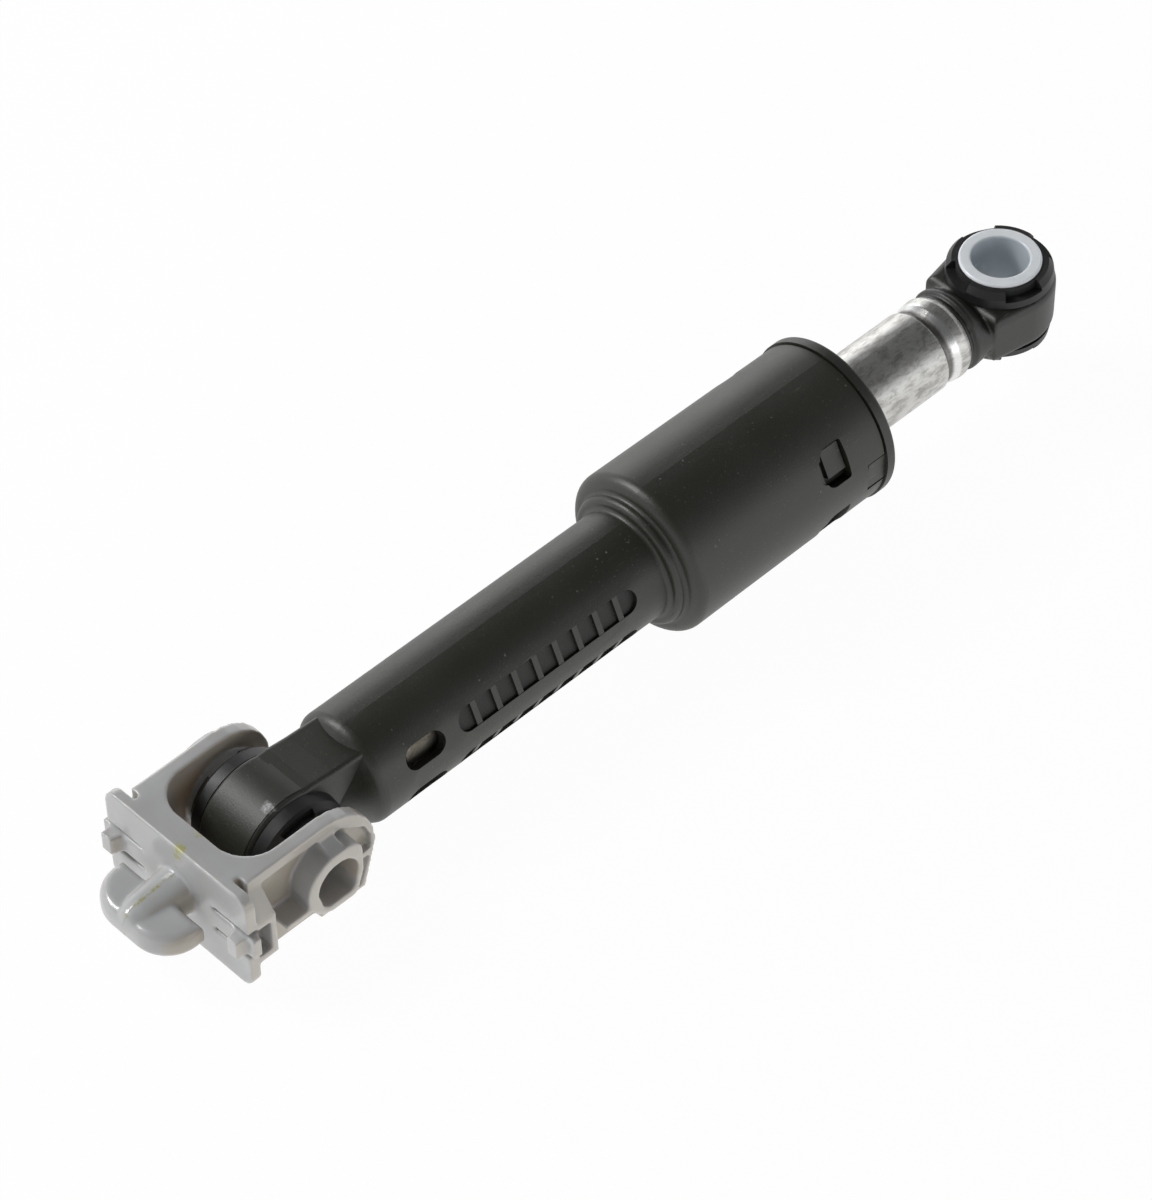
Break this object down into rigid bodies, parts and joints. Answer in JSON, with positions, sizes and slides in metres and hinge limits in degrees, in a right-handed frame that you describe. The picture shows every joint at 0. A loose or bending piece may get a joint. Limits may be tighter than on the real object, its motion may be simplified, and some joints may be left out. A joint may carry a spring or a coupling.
{
  "type": "washing machine shock absorber",
  "caption": "Straight friction damper: steel rod with an upper eye, black ported housing with a wide friction chamber, and a pale clip-in fork hinged on its lower eye.",
  "frame": {"origin": "centre of the upper eye's bore, on the damper's long axis, with the damper at its shown length", "axes": "+X along the long axis from the fork to the upper eye, +Y along the lower hinge, +Z along the upper eye's bore"},
  "size_m": [0.2443, 0.0412, 0.0358],
  "materials": {
    "fork_plastic": "satin moulded polyacetal",
    "housing_plastic": "satin moulded glass-filled plastic",
    "cap_plastic": "satin moulded plastic",
    "bush_rubber": "matt rubber",
    "seal_rubber": "matt rubber",
    "washer_steel": "stamped steel",
    "carrier_plastic": "natural moulded plastic",
    "lining_felt": "greased foam lining",
    "rod_steel": "dull drawn steel",
    "guide_plastic": "smooth moulded plastic",
    "sleeve_plastic": "smooth hard plastic"
  },
  "bodies": {
    "housing": {"housing": "housing_plastic", "lower_bush": "bush_rubber", "chamber_cap": "cap_plastic", "rod_wiper": "seal_rubber", "stop_ring_lower": "seal_rubber", "stop_ring_upper": "seal_rubber"},
    "fork": {"fork_bracket": "fork_plastic"},
    "friction_unit": {"unit_washer_lower": "washer_steel", "unit_washer_upper": "washer_steel", "lining_carrier_top": "carrier_plastic", "lining_carrier_bottom": "carrier_plastic", "friction_lining_lower": "lining_felt", "friction_lining_upper": "lining_felt"},
    "guide": {"guide_ring": "guide_plastic"},
    "rod": {"rod_tube": "rod_steel", "rod_plug": "carrier_plastic", "rod_eye": "housing_plastic", "upper_bush": "bush_rubber", "upper_sleeve": "sleeve_plastic"}
  },
  "joints": [
    {"name": "fork_hinge", "type": "hinge", "parent": "housing", "child": "fork", "pos_m": [-0.1976, 0, 0], "axis": [0, 1, 0], "range_deg": [-60, 60]},
    {"name": "unit_play", "type": "slide", "parent": "housing", "child": "friction_unit", "axis": [1, 0, 0], "range_m": [-0.0025, 0.0025]},
    {"name": "rod_slide", "type": "slide", "parent": "friction_unit", "child": "guide", "axis": [1, 0, 0], "range_m": [-0.0015, 0.062]},
    {"name": "rod_turn", "type": "hinge", "parent": "guide", "child": "rod", "pos_m": [0, 0, 0], "axis": [1, 0, 0], "continuous": true}
  ]
}
